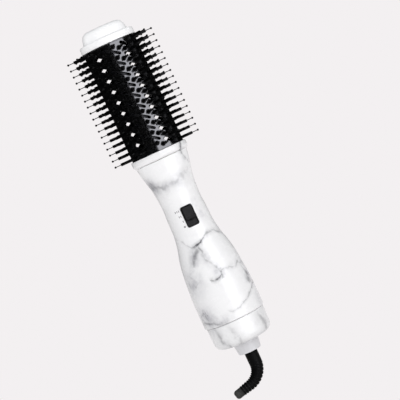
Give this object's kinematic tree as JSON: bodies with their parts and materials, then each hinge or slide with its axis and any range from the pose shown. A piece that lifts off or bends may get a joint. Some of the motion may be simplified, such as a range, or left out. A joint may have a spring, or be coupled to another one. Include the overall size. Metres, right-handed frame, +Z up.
{
  "type": "hot air brush",
  "caption": "Corded hot air brush: perforated oval barrel with tuft-and-pin bristles, cool tip, waisted handle with slide switch, rear air intake and swivelling cord exit.",
  "frame": {"origin": "on the long axis, at the middle of the hand grip where the handle is narrowest", "axes": "+Z up the long axis towards the cool tip; the switch faces -Y; +X to the right when looking at the switch"},
  "size_m": [0.0948, 0.0744, 0.4046],
  "materials": {
    "marble_plastic": "glossy white moulding with a soft grey marble pattern",
    "white_plastic": "glossy plain white moulding",
    "black_gloss": "glossy black coated tube",
    "bristle_black": "black nylon",
    "heat_plastic": "black heat-resistant moulding",
    "switch_black": "fine-textured black moulding",
    "grey_plastic": "plain grey moulding",
    "fan_white": "plain white moulding",
    "black_plastic": "plain black moulding",
    "steel": "plated steel",
    "heater_wire": "drawn resistance wire",
    "brass": "bright pressed brass",
    "copper_winding": "enamelled winding",
    "magnet": "dull sintered ferrite",
    "mica": "pressed mica sheet",
    "black_rubber": "soft black rubber",
    "cord_jacket": "smooth dark grey jacket",
    "wire_jacket": "soft coloured insulation",
    "board_green": "printed board",
    "diode_black": "moulded diodes",
    "filter_mesh": "fine woven filter gauze"
  },
  "bodies": {
    "body": {"neck_collar": "marble_plastic", "handle_front": "marble_plastic", "handle_back": "marble_plastic", "tip_cap": "white_plastic", "cord_collar": "white_plastic", "barrel_tube": "black_gloss", "tip_ring": "black_gloss", "bristle_cups_front": "bristle_black", "bristle_cups_back": "bristle_black", "bristle_cups_sides": "bristle_black", "tufts_front": "bristle_black", "tufts_back": "bristle_black", "tufts_sides": "bristle_black", "pins_front": "bristle_black", "pins_back": "bristle_black", "pins_sides": "bristle_black", "tip_plate": "heat_plastic", "air_core": "heat_plastic", "barrel_base": "heat_plastic", "switch_frame": "switch_black", "switch_body": "grey_plastic", "fan_duct": "grey_plastic", "tail_bracket": "grey_plastic", "thermostat": "fan_white", "motor_end_cap": "black_plastic", "tip_screws": "steel", "barrel_screws": "steel", "handle_screws": "steel", "motor_can": "steel", "thermal_fuse": "steel", "heater_coils": "heater_wire", "switch_terminals": "brass", "swivel_brushes": "brass", "motor_magnets": "magnet", "heater_tube": "mica", "heater_cards": "mica", "motor_sleeve": "black_rubber", "lead_wires": "wire_jacket", "rectifier_board": "board_green", "rectifier_diodes": "diode_black"},
    "slider": {"switch_slider": "switch_black", "switch_wiper": "brass"},
    "rotor": {"motor_shaft": "steel", "motor_armature": "copper_winding", "impeller": "fan_white"},
    "swivel": {"swivel_spool": "black_plastic", "swivel_rings": "brass", "swivel_retainer": "steel", "strain_relief": "black_rubber", "cord_stub": "cord_jacket"},
    "rear": {"rear_cover": "marble_plastic", "intake_filter": "filter_mesh"}
  },
  "joints": [
    {"name": "switch_slide", "type": "slide", "parent": "body", "child": "slider", "axis": [0, 0, -1], "range_m": [0, 0.006]},
    {"name": "fan_spin", "type": "hinge", "parent": "body", "child": "rotor", "pos_m": [0, 0, -0.08], "axis": [0, 0, 1], "continuous": true},
    {"name": "cord_swivel", "type": "hinge", "parent": "body", "child": "swivel", "pos_m": [0, 0, -0.15], "axis": [0, 0, 1], "continuous": true},
    {"name": "cover_pull", "type": "slide", "parent": "body", "child": "rear", "axis": [0, 0, -1], "range_m": [0, 0.012]}
  ]
}
